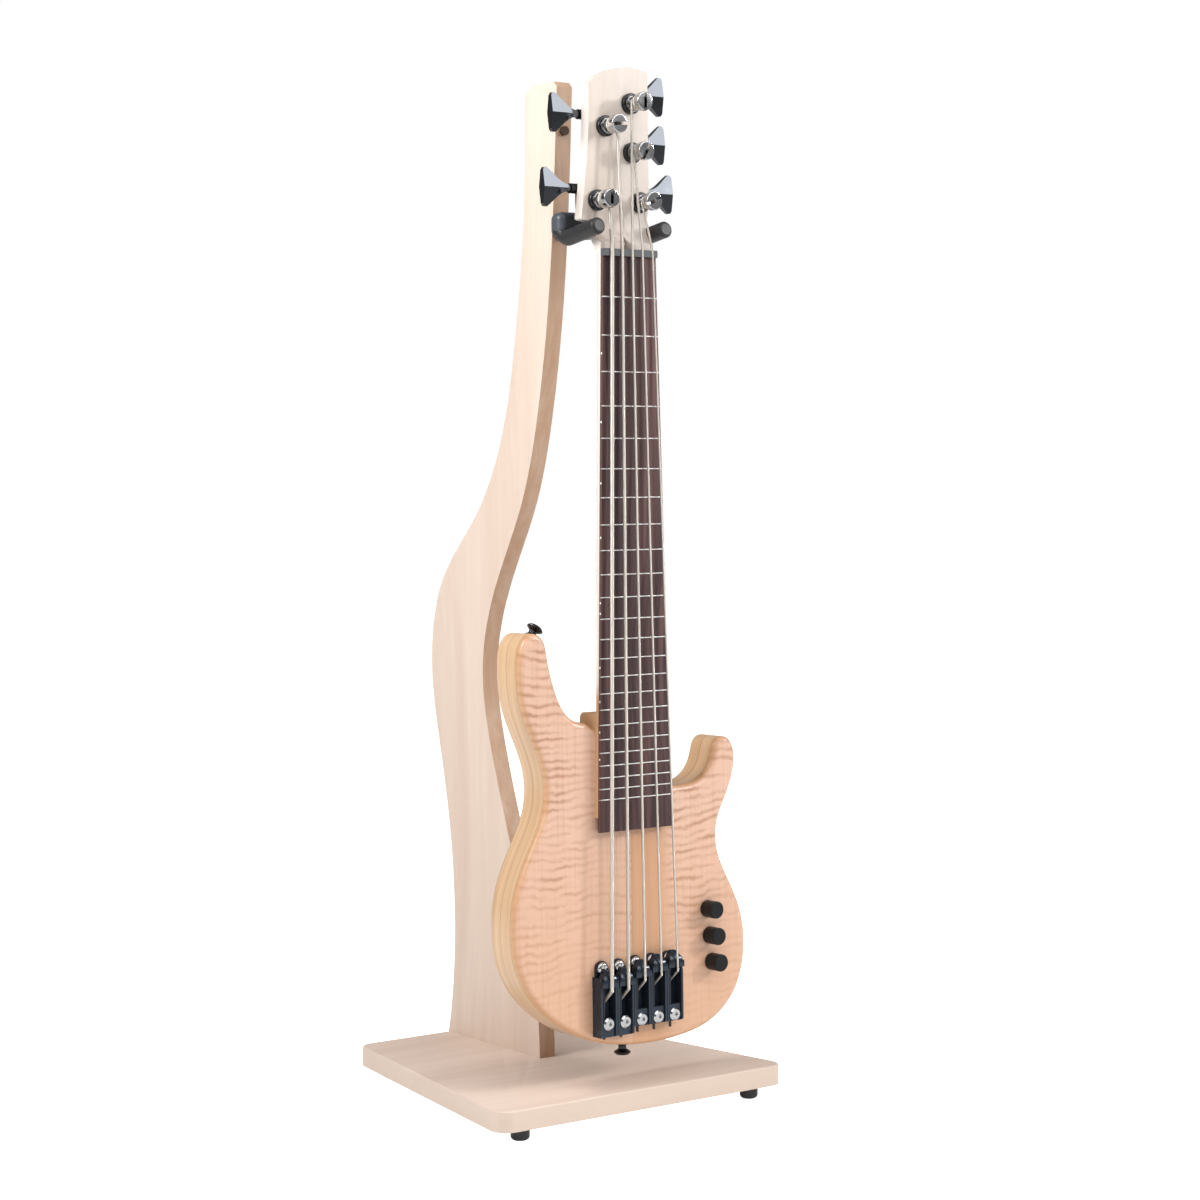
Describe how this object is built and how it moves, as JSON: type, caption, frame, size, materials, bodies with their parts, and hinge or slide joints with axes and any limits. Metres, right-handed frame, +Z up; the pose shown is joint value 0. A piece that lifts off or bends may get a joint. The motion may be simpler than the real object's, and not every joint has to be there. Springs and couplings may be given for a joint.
{
  "type": "electric bass on a floor stand",
  "caption": "Five-string short-scale solid-body bass with a bolt-on neck, hanging by its headstock in the padded yoke of a wooden floor stand.",
  "frame": {"origin": "on the floor at the middle of the whole object, under the rubber feet", "axes": "+Z up, -Y towards the strings and the front of the stand, +X to the treble side"},
  "size_m": [0.2744, 0.2875, 0.8042],
  "materials": {
    "stand_maple": "satin",
    "body_top_maple": "gloss",
    "body_ash": "gloss",
    "neck_maple": "satin",
    "rosewood": "satin",
    "fret_silver": "polished",
    "nut_graphite": "satin",
    "dot_white": "gloss",
    "steel": "satin",
    "dark_brass": "satin",
    "black_chrome": "gloss",
    "chrome": "polished",
    "string_steel": "satin",
    "bridge_black": "satin",
    "black_gloss": "gloss",
    "knob_black": "matte",
    "cover_black": "matte",
    "rubber": "matte",
    "jack_black": "gloss",
    "pot_case": "satin",
    "circuit_board": "satin",
    "battery_shell": "gloss",
    "piezo": "satin"
  },
  "bodies": {
    "stand": {"base_board": "stand_maple", "upright": "stand_maple", "rubber_feet": "rubber", "foot_screws": "steel", "upright_screws": "steel", "hanger_yoke": "steel", "yoke_mouldings": "cover_black", "yoke_sleeves": "rubber", "upright_plug": "dark_brass"},
    "instrument": {"anchor_screws": "chrome", "battery": "battery_shell", "battery_door": "cover_black", "body_back": "body_ash", "body_top": "body_top_maple", "bridge_bases": "bridge_black", "bridge_screws": "chrome", "cavity_cover": "cover_black", "cover_screws": "black_chrome", "fingerboard": "rosewood", "frets": "fret_silver", "intonation_screws": "black_chrome", "neck": "neck_maple", "neck_plate": "black_chrome", "neck_screws": "black_chrome", "nut": "nut_graphite", "output_jack": "jack_black", "piezo_strips": "piezo", "pot_nuts": "black_chrome", "pots": "pot_case", "preamp_board": "circuit_board", "side_dots": "dot_white", "strap_buttons": "black_chrome", "strap_screws": "steel", "string_1": "string_steel", "string_2": "string_steel", "string_3": "string_steel", "string_4": "string_steel", "string_5": "string_steel", "truss_rod": "steel", "tuner_bushings": "black_chrome", "tuner_housings": "black_chrome", "tuner_screws": "black_chrome"},
    "tuner_key_1": {"tuner_key_1": "black_gloss"},
    "tuner_key_2": {"tuner_key_2": "black_gloss"},
    "tuner_key_3": {"tuner_key_3": "black_gloss"},
    "tuner_key_4": {"tuner_key_4": "black_gloss"},
    "tuner_key_5": {"tuner_key_5": "black_gloss"},
    "tuner_post_1": {"tuner_post_1": "chrome"},
    "tuner_post_2": {"tuner_post_2": "chrome"},
    "tuner_post_3": {"tuner_post_3": "chrome"},
    "tuner_post_4": {"tuner_post_4": "chrome"},
    "tuner_post_5": {"tuner_post_5": "chrome"},
    "saddle_1": {"saddle_1": "bridge_black"},
    "saddle_2": {"saddle_2": "bridge_black"},
    "saddle_3": {"saddle_3": "bridge_black"},
    "saddle_4": {"saddle_4": "bridge_black"},
    "saddle_5": {"saddle_5": "bridge_black"},
    "knob_1": {"knob_1": "knob_black"},
    "knob_2": {"knob_2": "knob_black"},
    "knob_3": {"knob_3": "knob_black"}
  },
  "joints": [
    {"name": "instrument_lift", "type": "slide", "parent": "stand", "child": "instrument", "axis": [0, -0.9401, 0.341], "range_m": [0, 0.1]},
    {"name": "key_turn_1", "type": "hinge", "parent": "instrument", "child": "tuner_key_1", "pos_m": [-0.0418, -0.09206, 0.71096], "axis": [1, 0, 0], "continuous": true},
    {"name": "post_turn_1", "type": "hinge", "parent": "instrument", "child": "tuner_post_1", "pos_m": [-0.0218, -0.10776, 0.70178], "axis": [0, 0.9998, -0.0209], "continuous": true},
    {"name": "key_turn_2", "type": "hinge", "parent": "instrument", "child": "tuner_key_2", "pos_m": [-0.0333, -0.09088, 0.76734], "axis": [1, 0, 0], "continuous": true},
    {"name": "post_turn_2", "type": "hinge", "parent": "instrument", "child": "tuner_post_2", "pos_m": [-0.0133, -0.10658, 0.75817], "axis": [0, 0.9998, -0.0209], "continuous": true},
    {"name": "key_turn_3", "type": "hinge", "parent": "instrument", "child": "tuner_key_3", "pos_m": [0.031, -0.0905, 0.78584], "axis": [1, 0, 0], "continuous": true},
    {"name": "post_turn_3", "type": "hinge", "parent": "instrument", "child": "tuner_post_3", "pos_m": [0.011, -0.10619, 0.77667], "axis": [0, 0.9998, -0.0209], "continuous": true},
    {"name": "key_turn_4", "type": "hinge", "parent": "instrument", "child": "tuner_key_4", "pos_m": [0.032, -0.09127, 0.74865], "axis": [1, 0, 0], "continuous": true},
    {"name": "post_turn_4", "type": "hinge", "parent": "instrument", "child": "tuner_post_4", "pos_m": [0.012, -0.10697, 0.73947], "axis": [0, 0.9998, -0.0209], "continuous": true},
    {"name": "key_turn_5", "type": "hinge", "parent": "instrument", "child": "tuner_key_5", "pos_m": [0.0392, -0.09206, 0.71115], "axis": [1, 0, 0], "continuous": true},
    {"name": "post_turn_5", "type": "hinge", "parent": "instrument", "child": "tuner_post_5", "pos_m": [0.0192, -0.10776, 0.70198], "axis": [0, 0.9998, -0.0209], "continuous": true},
    {"name": "saddle_slide_1", "type": "slide", "parent": "instrument", "child": "saddle_1", "axis": [0, 0.0209, 0.9998], "range_m": [-0.002, 0.004]},
    {"name": "saddle_slide_2", "type": "slide", "parent": "instrument", "child": "saddle_2", "axis": [0, 0.0209, 0.9998], "range_m": [-0.002, 0.004]},
    {"name": "saddle_slide_3", "type": "slide", "parent": "instrument", "child": "saddle_3", "axis": [0, 0.0209, 0.9998], "range_m": [-0.002, 0.004]},
    {"name": "saddle_slide_4", "type": "slide", "parent": "instrument", "child": "saddle_4", "axis": [0, 0.0209, 0.9998], "range_m": [-0.002, 0.004]},
    {"name": "saddle_slide_5", "type": "slide", "parent": "instrument", "child": "saddle_5", "axis": [0, 0.0209, 0.9998], "range_m": [-0.002, 0.004]},
    {"name": "knob_turn_1", "type": "hinge", "parent": "instrument", "child": "knob_1", "pos_m": [0.074, -0.12924, 0.15401], "axis": [0, 0.9998, -0.0209], "range_deg": [-135, 135]},
    {"name": "knob_turn_2", "type": "hinge", "parent": "instrument", "child": "knob_2", "pos_m": [0.076, -0.12968, 0.13301], "axis": [0, 0.9998, -0.0209], "range_deg": [-135, 135]},
    {"name": "knob_turn_3", "type": "hinge", "parent": "instrument", "child": "knob_3", "pos_m": [0.078, -0.13012, 0.11202], "axis": [0, 0.9998, -0.0209], "range_deg": [-135, 135]}
  ],
  "couplings": [
    {"joint": "post_turn_1", "follows": "key_turn_1", "ratio": 0.05},
    {"joint": "post_turn_2", "follows": "key_turn_2", "ratio": 0.05},
    {"joint": "post_turn_3", "follows": "key_turn_3", "ratio": 0.05},
    {"joint": "post_turn_4", "follows": "key_turn_4", "ratio": 0.05},
    {"joint": "post_turn_5", "follows": "key_turn_5", "ratio": 0.05}
  ]
}
